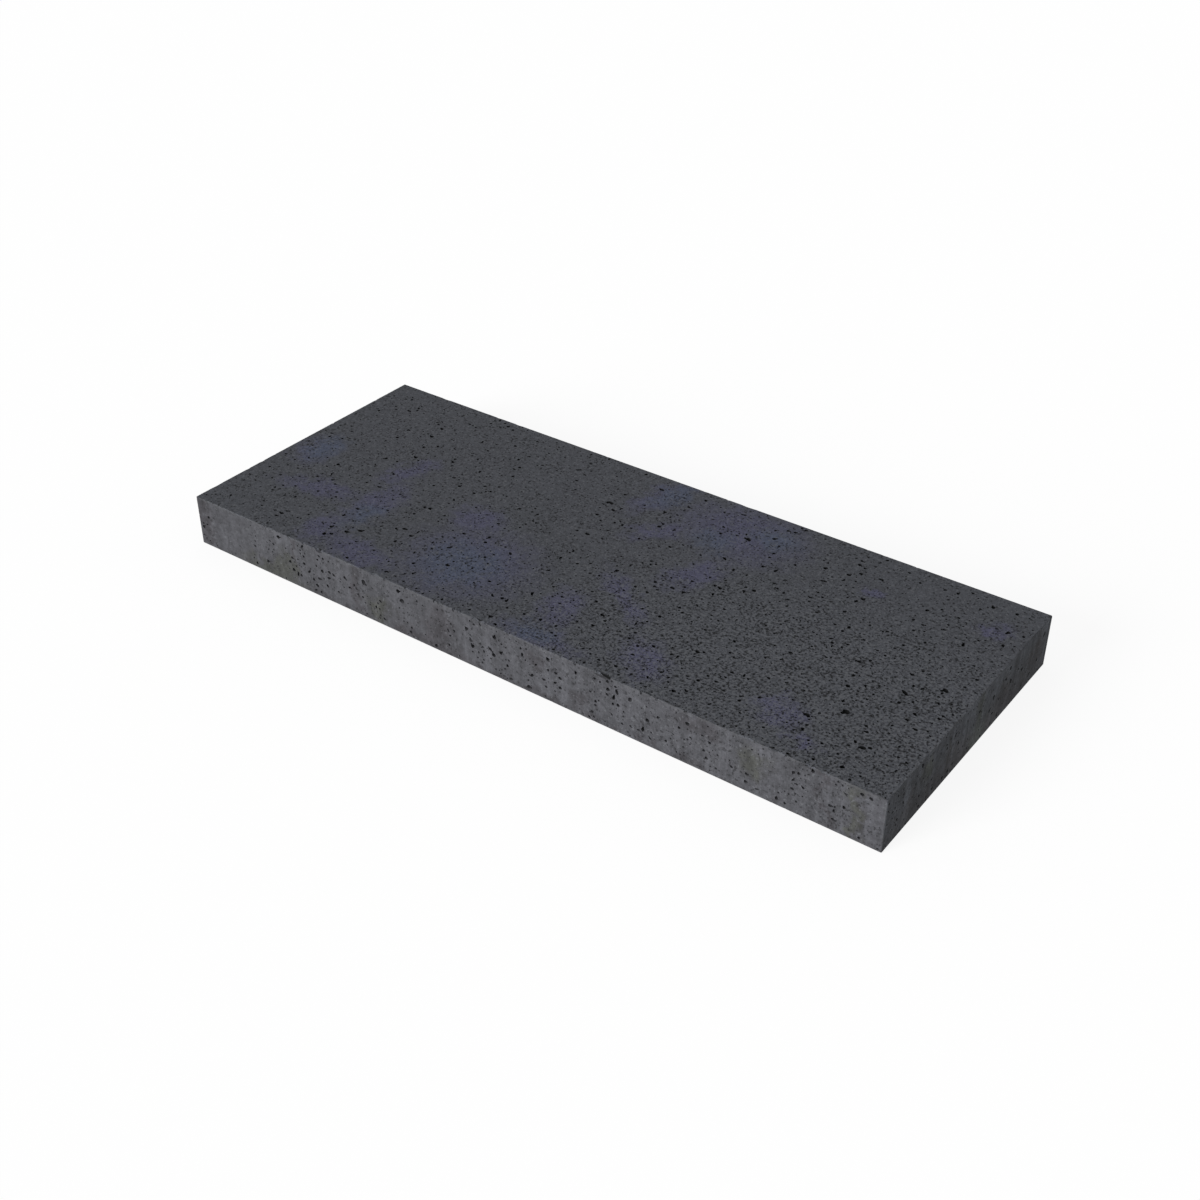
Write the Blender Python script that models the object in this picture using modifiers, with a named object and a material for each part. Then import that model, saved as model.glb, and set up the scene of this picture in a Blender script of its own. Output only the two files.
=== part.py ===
"""A sawn slab of vesicular basalt: one solid piece of stone, in metres, +Z up.

The underside lies on Z = 0, the length runs along X and the width along Y. The
six sawn faces meet at lightly eased arrises. Where the saw cut through gas
bubbles in the rock, it left open vesicles, and the larger ones are modelled here
as shallow pits in every face.
"""

import math
import random

import bmesh
import bpy
from mathutils import Matrix, Vector

# The slab, in metres
SLAB_LENGTH = 1.000
SLAB_WIDTH = 0.400
SLAB_THICKNESS = 0.070
ARRIS_EASING = 0.0008

# The larger vesicles, in metres
SMALLEST_MOUTH = 0.0055
LARGEST_MOUTH = 0.0090
SMALLEST_WIDTH_SHARE = 0.55
LARGEST_WIDTH_SHARE = 0.90
DEPTH_SHARE = 0.60
MOUTH_SHARE_OF_CUTTER = 0.97
WALL_BETWEEN_VESICLES = 0.006
MARGIN_TO_ARRIS = 0.004
SOUND_PATCH_RADIUS = 0.030
VESICLES_PER_SQUARE_METRE = 62
TRIES_PER_VESICLE = 20
WALL_ROUGHNESS = 0.10
SEED = 11

# Facets round and down one vesicle's wall
FACETS_ROUND = 9
FACETS_DOWN = 6

# The vesicles that stand out on the top face. Each is its place as a share of the
# half length and of the half width, its mouth's length and width in metres, and
# the direction of its length in degrees from +X.
TOP_VESICLES = (
    (-0.118, 0.520, 0.0100, 0.0050, -20),
    (-0.092, 0.455, 0.0075, 0.0045, -25),
    (0.230, -0.060, 0.0070, 0.0045, 0),
    (0.262, -0.060, 0.0060, 0.0045, 5),
    (0.260, 0.665, 0.0090, 0.0060, -30),
    (0.610, 0.750, 0.0075, 0.0045, 10),
    (0.538, 0.680, 0.0070, 0.0045, -10),
    (0.560, 0.735, 0.0065, 0.0045, 0),
    (0.616, 0.500, 0.0070, 0.0050, -15),
    (-0.732, 0.640, 0.0075, 0.0045, -20),
    (-0.876, 0.705, 0.0065, 0.0045, 10),
    (-0.050, 0.850, 0.0080, 0.0045, -5),
    (0.020, 0.630, 0.0065, 0.0040, -20),
    (0.794, -0.495, 0.0100, 0.0075, -20),
    (0.930, -0.015, 0.0095, 0.0055, -35),
    (0.862, -0.160, 0.0100, 0.0050, -30),
    (0.880, -0.710, 0.0085, 0.0060, 15),
    (0.730, -0.640, 0.0080, 0.0055, 10),
    (-0.262, -0.660, 0.0075, 0.0050, 0),
    (-0.540, -0.680, 0.0080, 0.0055, 25),
    (-0.566, -0.740, 0.0070, 0.0055, 10),
    (-0.614, -0.750, 0.0065, 0.0045, 30),
    (-0.424, -0.540, 0.0065, 0.0045, -10),
    (-0.620, -0.495, 0.0060, 0.0045, -10),
    (-0.040, -0.925, 0.0070, 0.0050, 10),
    (-0.584, 0.325, 0.0065, 0.0045, -15),
    (-0.800, 0.490, 0.0060, 0.0040, 0),
    (0.420, -0.510, 0.0075, 0.0050, -25),
)

# The stone's own colour and sheen
STONE_COLOUR = (0.058, 0.060, 0.068, 1.0)
STONE_ROUGHNESS = 0.88


def clear_scene():
    """Remove whatever the file holds, so that only the slab is left in it."""
    for leftover in list(bpy.data.objects):
        bpy.data.objects.remove(leftover, do_unlink=True)


def new_collection(name):
    """Add a collection to the scene."""
    collection = bpy.data.collections.new(name)
    bpy.context.scene.collection.children.link(collection)
    return collection


def basalt_material():
    """Dark grey, dull stone."""
    material = bpy.data.materials.new("basalt")
    material.use_nodes = True
    shader = material.node_tree.nodes["Principled BSDF"]
    shader.inputs["Base Color"].default_value = STONE_COLOUR
    shader.inputs["Roughness"].default_value = STONE_ROUGHNESS
    shader.inputs["Metallic"].default_value = 0.0
    return material


def sawn_faces():
    """Give each sawn face's frame, with its own +Z pointing out, and its two spans."""
    middle = SLAB_THICKNESS / 2
    quarter_turn = math.pi / 2
    top = Matrix.Translation((0, 0, SLAB_THICKNESS))
    underside = Matrix.Rotation(math.pi, 4, "X")
    front = Matrix.Translation((0, -SLAB_WIDTH / 2, middle)) @ Matrix.Rotation(quarter_turn, 4, "X")
    back = Matrix.Translation((0, SLAB_WIDTH / 2, middle)) @ Matrix.Rotation(-quarter_turn, 4, "X")
    left = Matrix.Translation((-SLAB_LENGTH / 2, 0, middle)) @ Matrix.Rotation(-quarter_turn, 4, "Y")
    right = Matrix.Translation((SLAB_LENGTH / 2, 0, middle)) @ Matrix.Rotation(quarter_turn, 4, "Y")
    return {
        "top": (top, SLAB_LENGTH, SLAB_WIDTH),
        "underside": (underside, SLAB_LENGTH, SLAB_WIDTH),
        "front": (front, SLAB_LENGTH, SLAB_THICKNESS),
        "back": (back, SLAB_LENGTH, SLAB_THICKNESS),
        "left": (left, SLAB_THICKNESS, SLAB_WIDTH),
        "right": (right, SLAB_THICKNESS, SLAB_WIDTH),
    }


def top_vesicles(span_x, span_y):
    """Place the chosen vesicles of the top face as (x, y, length, width, turn)."""
    placed = []
    for share_x, share_y, length, width, degrees in TOP_VESICLES:
        x = share_x * span_x / 2
        y = share_y * span_y / 2
        placed.append((x, y, length, width, math.radians(degrees)))
    return placed


def scattered_vesicles(span_x, span_y, rng):
    """Scatter vesicles over a face, clear of its arrises, its middle and each other."""
    wanted = round(VESICLES_PER_SQUARE_METRE * span_x * span_y)
    placed = []
    for _ in range(wanted * TRIES_PER_VESICLE):
        if len(placed) == wanted:
            break
        length = rng.uniform(SMALLEST_MOUTH, LARGEST_MOUTH)
        width = length * rng.uniform(SMALLEST_WIDTH_SHARE, LARGEST_WIDTH_SHARE)
        reach_x = span_x / 2 - MARGIN_TO_ARRIS - length / 2
        reach_y = span_y / 2 - MARGIN_TO_ARRIS - length / 2
        x = rng.uniform(-reach_x, reach_x)
        y = rng.uniform(-reach_y, reach_y)
        turn = rng.uniform(0, math.pi)
        spot = Vector((x, y))
        if spot.length < SOUND_PATCH_RADIUS:
            continue
        if all(
            (spot - Vector(other[:2])).length > (length + other[2]) / 2 + WALL_BETWEEN_VESICLES
            for other in placed
        ):
            placed.append((x, y, length, width, turn))
    return placed


def add_vesicle_cutter(bm, face_frame, vesicle, rng):
    """Add one lumpy ellipsoid whose widest part is just outside the sawn face."""
    x, y, length, width, turn = vesicle
    radii = Vector((length, width, 2 * DEPTH_SHARE * width)) / (2 * MOUTH_SHARE_OF_CUTTER)
    lift = radii.z * math.sqrt(1 - MOUTH_SHARE_OF_CUTTER**2)
    place = face_frame @ Matrix.Translation((x, y, lift)) @ Matrix.Rotation(turn, 4, "Z")
    ball = bmesh.ops.create_uvsphere(bm, u_segments=FACETS_ROUND, v_segments=FACETS_DOWN, radius=1.0)
    for vert in ball["verts"]:
        vert.co *= 1 + rng.uniform(-WALL_ROUGHNESS, WALL_ROUGHNESS)
        vert.co = place @ (vert.co * radii)


def vesicle_cutters(collection):
    """Join the cutters of all six faces in one wire object that isn't rendered."""
    rng = random.Random(SEED)
    bm = bmesh.new()
    for name, (face_frame, span_x, span_y) in sawn_faces().items():
        if name == "top":
            vesicles = top_vesicles(span_x, span_y)
        else:
            vesicles = scattered_vesicles(span_x, span_y, rng)
        for vesicle in vesicles:
            add_vesicle_cutter(bm, face_frame, vesicle, rng)
    mesh = bpy.data.meshes.new("vesicle_cutters")
    bm.to_mesh(mesh)
    bm.free()
    mesh.shade_smooth()
    cutters = bpy.data.objects.new("vesicle_cutters", mesh)
    cutters.hide_render = True
    cutters.display_type = "WIRE"
    collection.objects.link(cutters)
    return cutters


def basalt_slab(collection, cutters):
    """Saw the block, ease its arrises and open its vesicles."""
    bm = bmesh.new()
    size = Matrix.Diagonal((SLAB_LENGTH, SLAB_WIDTH, SLAB_THICKNESS, 1))
    raised = Matrix.Translation((0, 0, SLAB_THICKNESS / 2))
    bmesh.ops.create_cube(bm, size=1.0, matrix=raised @ size)
    mesh = bpy.data.meshes.new("basalt_slab")
    bm.to_mesh(mesh)
    bm.free()
    mesh.materials.append(basalt_material())
    slab = bpy.data.objects.new("basalt_slab", mesh)
    collection.objects.link(slab)

    easing = slab.modifiers.new("eased_arrises", "BEVEL")
    easing.width = ARRIS_EASING
    easing.segments = 1
    easing.limit_method = "NONE"

    opening = slab.modifiers.new("open_vesicles", "BOOLEAN")
    opening.operation = "DIFFERENCE"
    opening.solver = "EXACT"
    opening.object = cutters
    return slab


def main():
    clear_scene()
    parts = new_collection("basalt_stone_slab")
    guides = new_collection("cutters")
    basalt_slab(parts, vesicle_cutters(guides))


main()
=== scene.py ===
# %% [markdown]
# # A sawn basalt slab
#
# The object is one solid piece of stone: a block of vesicular basalt, a metre
# long, sawn flat on all six faces. Basalt starts as lava full of gas bubbles.
# Each bubble that the saw cut through is now an open pore, a vesicle, so the
# character of the stone is in thousands of small irregular pits, in flat, dull,
# charcoal-coloured faces.
#
# The plan of this lesson:
#
# 1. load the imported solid, which already has the largest vesicles as real pits;
# 2. scatter the smaller vesicles over the six faces and cut them as real pits;
# 3. nick the arrises, where the saw leaves the edge a little broken;
# 4. sort the facets by the face they belong to, and unfold the faces in an atlas;
# 5. build the finishes from small node groups;
# 6. set the slab in a plain pale studio.

# %% Load the frame
import math
import random

import bmesh
import bpy
from mathutils import Matrix, Vector
from mathutils.bvhtree import BVHTree
from mathutils.noise import noise as rock_noise


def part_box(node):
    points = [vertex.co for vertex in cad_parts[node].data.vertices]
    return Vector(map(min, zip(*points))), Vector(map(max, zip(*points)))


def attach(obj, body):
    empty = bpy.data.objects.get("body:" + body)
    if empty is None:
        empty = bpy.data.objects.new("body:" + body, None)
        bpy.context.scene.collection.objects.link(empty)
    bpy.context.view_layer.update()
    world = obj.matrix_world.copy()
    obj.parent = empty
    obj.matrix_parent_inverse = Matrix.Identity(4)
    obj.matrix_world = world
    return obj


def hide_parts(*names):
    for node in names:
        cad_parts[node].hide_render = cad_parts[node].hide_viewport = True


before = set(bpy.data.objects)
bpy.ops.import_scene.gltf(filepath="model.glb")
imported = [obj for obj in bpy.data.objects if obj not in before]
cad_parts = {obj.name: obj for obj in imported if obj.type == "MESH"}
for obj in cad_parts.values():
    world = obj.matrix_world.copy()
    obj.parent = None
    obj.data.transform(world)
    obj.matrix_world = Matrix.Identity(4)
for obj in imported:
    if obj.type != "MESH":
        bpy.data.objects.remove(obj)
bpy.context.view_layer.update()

MM = 0.001

# %% [markdown]
# ## The faces of the slab
#
# Everything that follows happens on one of the six sawn faces. Each face gets a
# frame of its own: a matrix whose +Z points out of the stone, and two spans. A
# pore can then be placed flat, in the face's own millimetres, and the matrix
# puts it on the stone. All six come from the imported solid's box, so nothing is
# measured twice.

# %% One frame for each sawn face
low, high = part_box("basalt_slab")
size = high - low
middle = (low + high) / 2


def face_frame(side, turn, axis):
    """The frame of the face that lies on the given side of the slab's middle."""
    centre = Vector([middle[i] + side[i] * size[i] / 2 for i in range(3)])
    return Matrix.Translation(centre) @ Matrix.Rotation(math.radians(turn), 4, axis)


SAWN_FACES = {
    "top": (face_frame((0, 0, 1), 0, "X"), size.x, size.y),
    "underside": (face_frame((0, 0, -1), 180, "X"), size.x, size.y),
    "front": (face_frame((0, -1, 0), 90, "X"), size.x, size.z),
    "back": (face_frame((0, 1, 0), -90, "X"), size.x, size.z),
    "left": (face_frame((-1, 0, 0), -90, "Y"), size.z, size.y),
    "right": (face_frame((1, 0, 0), 90, "Y"), size.z, size.y),
}
PLANES = {
    face: (matrix.to_translation(), matrix.to_3x3() @ Vector((0, 0, 1)))
    for face, (matrix, _, _) in SAWN_FACES.items()
}


def depth_below(face, spot):
    """How deep a point lies below a sawn face."""
    origin, outward = PLANES[face]
    return (origin - spot).dot(outward)


def nearest_face(spot):
    """The sawn face whose plane lies nearest to a point."""
    return min(PLANES, key=lambda face: depth_below(face, spot))


for name, (_, span_x, span_y) in SAWN_FACES.items():
    print(f"{name}: {span_x / MM:.0f} x {span_y / MM:.0f} mm")

# %% [markdown]
# ## The solid to cut
#
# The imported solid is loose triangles, so a copy of it is merged into one skin
# before anything is cut. The shading normals that came with it are dropped,
# because they would be stretched over the new cuts. Its largest vesicles stay
# exactly as they are. A tree of its triangles answers one question for every
# new pore: is the stone still whole here, or is there a vesicle already?

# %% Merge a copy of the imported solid
MERGE_DISTANCE = 0.01 * MM
ON_PLANE = 0.03 * MM

stone_mesh = bpy.data.meshes.new("basalt_stone")
bm = bmesh.new()
bm.from_mesh(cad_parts["basalt_slab"].data)
bmesh.ops.remove_doubles(bm, verts=bm.verts, dist=MERGE_DISTANCE)
solid_tree = BVHTree.FromBMesh(bm)
print(f"packed solid: {len(bm.faces)} triangles, {bm.calc_volume() * 1000:.2f} litres")
bm.to_mesh(stone_mesh)
bm.free()
stone_mesh.attributes.remove(stone_mesh.attributes["custom_normal"])
stone = bpy.data.objects.new("basalt_stone", stone_mesh)
bpy.context.scene.collection.objects.link(stone)


PROBE_HEIGHT = 1.0 * MM
PROBE_REACH = 3.0 * MM
FLATNESS = 0.05 * MM
PROBES_ROUND = 8


def whole_stone_at(face, x, y, reach):
    """Whether the sawn face is still flat at a spot and all round it."""
    matrix = SAWN_FACES[face][0]
    inward = matrix.to_3x3() @ Vector((0, 0, -1))
    for step in range(PROBES_ROUND + 1):
        angle = step * math.tau / PROBES_ROUND
        ring = reach if step < PROBES_ROUND else 0
        place = Vector((x + ring * math.cos(angle), y + ring * math.sin(angle), PROBE_HEIGHT))
        probe = matrix @ place
        hit = solid_tree.ray_cast(probe, inward, PROBE_REACH)[0]
        if hit is None or abs((hit - probe).length - PROBE_HEIGHT) > FLATNESS:
            return False
    return True


# %% [markdown]
# ## Where the rock was frothy
#
# Lava doesn't hold its bubbles evenly. One corner of this slab is frothy, with
# about twice as many small pores as the rest, and the border is gradual. A
# function gives the froth at any place, from 0 to 1. The pores use it to decide
# where they settle, and the material repeats it for the pinholes that are too
# small to cut.

# %% The froth
FROTH_CENTRE = Vector((0.38 * size.x, -0.40 * size.y, 0))
FROTH_RADII = Vector((0.42, 0.27, 1.0))
FROTH_FULL = 0.50
FROTH_NONE = 1.20


def froth(spot):
    """How frothy the rock is at a place of the slab, from 0 to 1."""
    away = spot - FROTH_CENTRE
    distance = math.hypot(away.x / FROTH_RADII.x, away.y / FROTH_RADII.y)
    share = min(max((FROTH_NONE - distance) / (FROTH_NONE - FROTH_FULL), 0), 1)
    return share * share * (3 - 2 * share)


# %% [markdown]
# ## Scatter the pores
#
# Pores are thrown at a face like darts, the large ones first. A dart counts only
# where it clears every pore that is already there, so no two mouths touch and
# every cut stays clean. The sizes follow the rule that bubbles in lava follow:
# each extra millimetre makes a pore a good deal less common. Outside the froth
# many darts are thrown away, and more of the small ones than of the large. Each
# face has its own count, falloff and quiet share, because a face that was sawn
# across the lava's flow opens other bubbles than one sawn along it. On the front
# and the back the bubbles that rose show side-on, so the pores there gather in
# upright clusters, drawn from noise. The left end of the front is sound stone.

# %% Throw the darts
SMALLEST_MOUTH = 1.5 * MM
LARGEST_MOUTH = 7.5 * MM
WALL = 0.20 * MM
ARRIS_MARGIN = 1.0 * MM
CELL = 8 * MM
SCATTER = {
    # face: darts per square metre, falloff of the mouth's length, share kept when quiet
    "top": (23500, 1.20 * MM, 0.40),
    "underside": (4200, 1.30 * MM, 0.30),
    "front": (23000, 2.10 * MM, 0.75),
    "back": (13000, 1.90 * MM, 0.55),
    "left": (11000, 1.50 * MM, 0.55),
    "right": (12000, 1.60 * MM, 0.50),
}
QUIET_PER_METRE = 70
CLUSTER_PITCH = Vector((22, 22, 60)) * MM
CLUSTER_SHARE = 0.60
CLUSTER_SWING = 2.2
SOUND_END = Vector((-0.44 * size.x, -0.5 * size.y, middle.z))
SOUND_RADIUS = 0.042 * size.x
SLENDEREST = 0.60
TURN_SPREAD = 0.8
SEED = 5
rng = random.Random(SEED)


def mouth_length(falloff):
    """One pore's length, from a falling exponential that is cut off at both ends."""
    tail = math.exp(-(LARGEST_MOUTH - SMALLEST_MOUTH) / falloff)
    return SMALLEST_MOUTH - falloff * math.log(1 - rng.random() * (1 - tail))


def scatter(face):
    """Throw pores at one face, as (x, y, length, width, turn)."""
    matrix, span_x, span_y = SAWN_FACES[face]
    per_square_metre, falloff, quiet_share = SCATTER[face]
    darts = round(per_square_metre * span_x * span_y)
    placed = []
    cells = {}
    for length in sorted((mouth_length(falloff) for _ in range(darts)), reverse=True):
        width = length * rng.uniform(SLENDEREST, 1.0)
        reach = length / 2
        x = rng.uniform(-1, 1) * (span_x / 2 - ARRIS_MARGIN - reach)
        y = rng.uniform(-1, 1) * (span_y / 2 - ARRIS_MARGIN - reach)
        turn = rng.gauss(0, TURN_SPREAD)
        spot = matrix @ Vector((x, y, 0))
        quiet = min(quiet_share + QUIET_PER_METRE * (length - SMALLEST_MOUTH), 1)
        if rng.random() > quiet + (1 - quiet) * froth(spot):
            continue
        if (spot - SOUND_END).length < SOUND_RADIUS:
            continue
        drawn = rock_noise(Vector([spot[i] / CLUSTER_PITCH[i] for i in range(3)]))
        if span_y < size.y and rng.random() > CLUSTER_SHARE + CLUSTER_SWING * drawn:
            continue
        column, row = int(x // CELL), int(y // CELL)
        near = [
            other
            for i in (column - 1, column, column + 1)
            for j in (row - 1, row, row + 1)
            for other in cells.get((i, j), ())
        ]
        if any(math.hypot(x - o[0], y - o[1]) < reach + o[2] / 2 + WALL for o in near):
            continue
        if not whole_stone_at(face, x, y, reach + WALL):
            continue
        pore = (x, y, length, width, turn)
        cells.setdefault((column, row), []).append(pore)
        placed.append(pore)
    return placed


pores = {face: scatter(face) for face in SAWN_FACES}
for face, found in pores.items():
    print(f"{face}: {len(found)} pores, the largest {max(p[2] for p in found) / MM:.1f} mm")

# %% [markdown]
# ## Bubbles that ran together
#
# A large vesicle is seldom one clean bubble. A smaller neighbour has usually
# broken into it, and the mouth is then a comma or a bean. So many of the larger
# pores get a partner that straddles the rim. Partners are cut in a second pass:
# the tool of one cut must not cross itself, but it may cross what is already cut.
# The largest vesicles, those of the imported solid, get partners too. They are
# found by taking away the flat facets, which leaves each vesicle as an island,
# and are read in the order of the mesh, so that every run draws the same numbers.

# %% Partners for the larger pores
PARTNERED_FROM = 4.4 * MM
PARTNER_SHARE = 0.45
PARTNER_LENGTH = (0.45, 0.75)
PARTNER_OFFSET = (0.75, 1.0)
PARTNER_STRAY = 0.4
WHOLE_FACE = 20 * MM
partners = {face: [] for face in SAWN_FACES}


def add_partner(face, x, y, length, way):
    """Put a partner on the rim of a pore, if it clears the other partners."""
    partner = length * rng.uniform(*PARTNER_LENGTH)
    off = length / 2 * rng.uniform(*PARTNER_OFFSET)
    x += off * math.cos(way)
    y += off * math.sin(way)
    _, span_x, span_y = SAWN_FACES[face]
    inset = partner / 2 + ARRIS_MARGIN
    if abs(x) > span_x / 2 - inset or abs(y) > span_y / 2 - inset:
        return
    if any(math.hypot(x - o[0], y - o[1]) < (partner + o[2]) / 2 + WALL for o in partners[face]):
        return
    partners[face].append((x, y, partner, partner * rng.uniform(SLENDEREST, 1.0), way))


def mouths_of_solid():
    """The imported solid's own vesicles, as (face, x, y, length)."""
    probe = bmesh.new()
    probe.from_mesh(stone_mesh)
    flat = [
        facet
        for facet in probe.faces
        if any(all(depth_below(f, v.co) < ON_PLANE for v in facet.verts) for f in SAWN_FACES)
    ]
    bmesh.ops.delete(probe, geom=flat, context="FACES")
    probe.verts.index_update()
    seen = set()
    for start in probe.verts:
        if start in seen:
            continue
        pit, edge = {start}, {start}
        while edge:
            edge = {e.other_vert(v) for v in edge for e in v.link_edges} - pit
            pit |= edge
        seen |= pit
        corners_of_pit = [v.co for v in sorted(pit, key=lambda v: v.index)]
        face = nearest_face(sum(corners_of_pit, Vector()) / len(corners_of_pit))
        to_face = SAWN_FACES[face][0].inverted()
        spots = [(to_face @ corner).to_2d() for corner in corners_of_pit]
        centre = sum(spots, Vector((0, 0))) / len(spots)
        yield face, centre.x, centre.y, 2 * max((spot - centre).length for spot in spots)
    probe.free()


solid_mouths = [mouth for mouth in mouths_of_solid() if mouth[3] < WHOLE_FACE]
for face, x, y, length in solid_mouths:
    add_partner(face, x, y, length, rng.uniform(0, math.tau))
for face, found in pores.items():
    for x, y, length, _, turn in found:
        if length > PARTNERED_FROM and rng.random() < PARTNER_SHARE:
            way = turn + rng.choice((0, math.pi)) + rng.gauss(0, PARTNER_STRAY)
            add_partner(face, x, y, length, way)
print(f"{len(solid_mouths)} vesicles of the packed solid")
print(f"{sum(map(len, partners.values()))} partners")

# %% [markdown]
# ## Cut the pores
#
# A pore could be faked with bump, but then its rim would throw no shadow and the
# slab would look printed. Cutting each one is affordable as long as a pore has
# only a few facets. Four plugs are made once: two plain points for the small
# pores, a pointed cup for the ordinary, and a bowl for the large. Each starts as a
# circle just above the face, whose edge is extruded down and in, ring by ring,
# and closed at both ends. Every pore is a copy of a plug, stretched, turned and
# dented, so no two are alike.

# %% The plugs
PLUG_RISE = 0.12


def plug(segments, rings):
    """A closed bowl of unit radius, with rings of (radius, depth) from the mouth down."""
    bm = bmesh.new()
    bmesh.ops.create_circle(bm, segments=segments, radius=1.0)
    bmesh.ops.translate(bm, verts=bm.verts, vec=(0, 0, PLUG_RISE))
    edges = bm.edges[:]
    for radius, depth in rings:
        made = bmesh.ops.extrude_edge_only(bm, edges=edges)["geom"]
        edges = [item for item in made if isinstance(item, bmesh.types.BMEdge)]
        for vert in (item for item in made if isinstance(item, bmesh.types.BMVert)):
            vert.co = vert.co.xy.normalized().to_3d() * radius
            vert.co.z = -depth
    bmesh.ops.remove_doubles(bm, verts=bm.verts, dist=0.01)
    bmesh.ops.holes_fill(bm, edges=bm.edges)
    bmesh.ops.recalc_face_normals(bm, faces=bm.faces)
    mesh = bpy.data.meshes.new("plug")
    bm.to_mesh(mesh)
    bm.free()
    return mesh


PLUGS = (
    (2.0 * MM, plug(5, ((0.0, 1.0),))),
    (3.0 * MM, plug(6, ((0.0, 1.0),))),
    (4.6 * MM, plug(7, ((0.74, 0.55), (0.0, 1.0)))),
    (20 * MM, plug(9, ((0.90, 0.45), (0.50, 0.95)))),
)
PIT_DEPTH = (0.50, 0.85)
DENT = 0.26
BEAN = 0.16
LOBES = 3


def stamp(bm, shape, place, dent):
    """Add a copy of a plug to a tool, with its spokes made uneven."""
    first = len(bm.verts)
    bm.from_mesh(shape)
    bm.verts.ensure_lookup_table()
    bean = rng.uniform(0, math.tau)
    spokes = {}
    for vert in bm.verts[first:]:
        angle = math.atan2(vert.co.y, vert.co.x)
        uneven = 1 - BEAN / 2 + BEAN / 2 * math.cos(LOBES * angle + bean) - rng.uniform(0, dent)
        uneven = spokes.setdefault(round(math.degrees(angle)), uneven)
        vert.co = place @ Vector((vert.co.x * uneven, vert.co.y * uneven, vert.co.z))


def add_plug(bm, face, pore):
    """Add one pore's plug to a tool."""
    x, y, length, width, turn = pore
    shape = next(mesh for limit, mesh in PLUGS if length <= limit)
    depth = width * rng.uniform(*PIT_DEPTH)
    stretch = Matrix.Diagonal((length / 2, width / 2, depth, 1))
    where = Matrix.Translation((x, y, 0)) @ Matrix.Rotation(turn, 4, "Z")
    stamp(bm, shape, SAWN_FACES[face][0] @ where @ stretch, DENT)


def object_from(bm, name):
    """Turn a finished bmesh into an object of the scene."""
    mesh = bpy.data.meshes.new(name)
    bm.to_mesh(mesh)
    bm.free()
    made = bpy.data.objects.new(name, mesh)
    bpy.context.scene.collection.objects.link(made)
    return made


def cut(solid, tool):
    """Take the tool away from the solid for good, and throw the tool away."""
    difference = solid.modifiers.new("cut", "BOOLEAN")
    difference.operation = "DIFFERENCE"
    difference.solver = "MANIFOLD"
    difference.object = tool
    graph = bpy.context.evaluated_depsgraph_get()
    solid.data = bpy.data.meshes.new_from_object(solid.evaluated_get(graph))
    solid.modifiers.remove(difference)
    bpy.data.objects.remove(tool)
    solid.data.calc_loop_triangles()
    print(f"cut {solid.name}: now {len(solid.data.loop_triangles)} triangles")


bm = bmesh.new()
for face, found in pores.items():
    for pore in found:
        add_plug(bm, face, pore)
cut(stone, object_from(bm, "pore_plugs"))

# %% [markdown]
# ## Nick the arrises
#
# Saw-cut arrises are sharp, so they are the first thing to break. The slab has
# small nicks all along them, and longer shallow spalls between. Both are the
# pointed cup again, laid across the arris so that it faces outwards along the
# diagonal, stretched along the edge, and sunk by 0.4 to 3.4 millimetres. The
# arrises below were sheltered by the ground, and are the least deeply chipped.
# The leading arris, between the top and the front, took the hardest knocks.

# %% Chips
CHIP_SPACING = 20 * MM
SPALL_SHARE = 0.4
NICK = ((3.0, 9.0), (0.9, 2.1))
SPALL = ((12.0, 42.0), (0.9, 2.1))
PLAIN_SHARE = 0.65
LOW_SHARE = 0.45
LEADING_SHARE = 1.6
CORNER_CLEARANCE = 6 * MM
CHIP_SHAPE = PLUGS[2][1]
CHIP_WIDTH = (2.6, 3.6)


def chips_along(bm, start, stop, outward):
    """Chip one arris between two corners, where outward is its diagonal."""
    along = (stop - start).normalized()
    reach = (stop - start).length
    across = outward.cross(along)
    share = PLAIN_SHARE
    if outward.z < 0:
        share = LOW_SHARE
    if outward.z > 0 and outward.y < 0:
        share = LEADING_SHARE
    spot = CORNER_CLEARANCE
    made = 0
    while True:
        lengths, depths = SPALL if rng.random() < SPALL_SHARE else NICK
        length = rng.uniform(*lengths) * MM
        depth = rng.uniform(*depths) * MM * share
        spot += length / 2 + rng.expovariate(1 / CHIP_SPACING)
        if spot + length / 2 > reach - CORNER_CLEARANCE:
            return made
        axes = Matrix((along, across, outward)).transposed().to_4x4()
        stretch = Matrix.Diagonal((length / 2, rng.uniform(*CHIP_WIDTH) * depth, depth, 1))
        stamp(bm, CHIP_SHAPE, Matrix.Translation(start + along * spot) @ axes @ stretch, DENT)
        spot += length / 2 + WALL
        made += 1


bm = bmesh.new()
chips = 0
for axis in range(3):
    for first_side in (-1, 1):
        for second_side in (-1, 1):
            outward = Vector((0, 0, 0))
            outward[(axis + 1) % 3] = first_side
            outward[(axis + 2) % 3] = second_side
            edge = middle + Vector([outward[i] * size[i] / 2 for i in range(3)])
            half = Vector((0, 0, 0))
            half[axis] = size[axis] / 2
            chips += chips_along(bm, edge - half, edge + half, outward.normalized())
cut(stone, object_from(bm, "chip_plugs"))
print(f"{chips} chips along the arrises")

bm = bmesh.new()
for face, found in partners.items():
    for pore in found:
        add_plug(bm, face, pore)
cut(stone, object_from(bm, "partner_plugs"))

# %% [markdown]
# ## Sort the facets
#
# Each facet now belongs to one sawn face: the face whose plane lies nearest to
# its middle. A facet with all its corners on that plane is sawn stone, and is
# shaded flat. Every other facet is the wall of a pore or a chip, and is shaded
# smooth. The same answer chooses the material.

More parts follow.
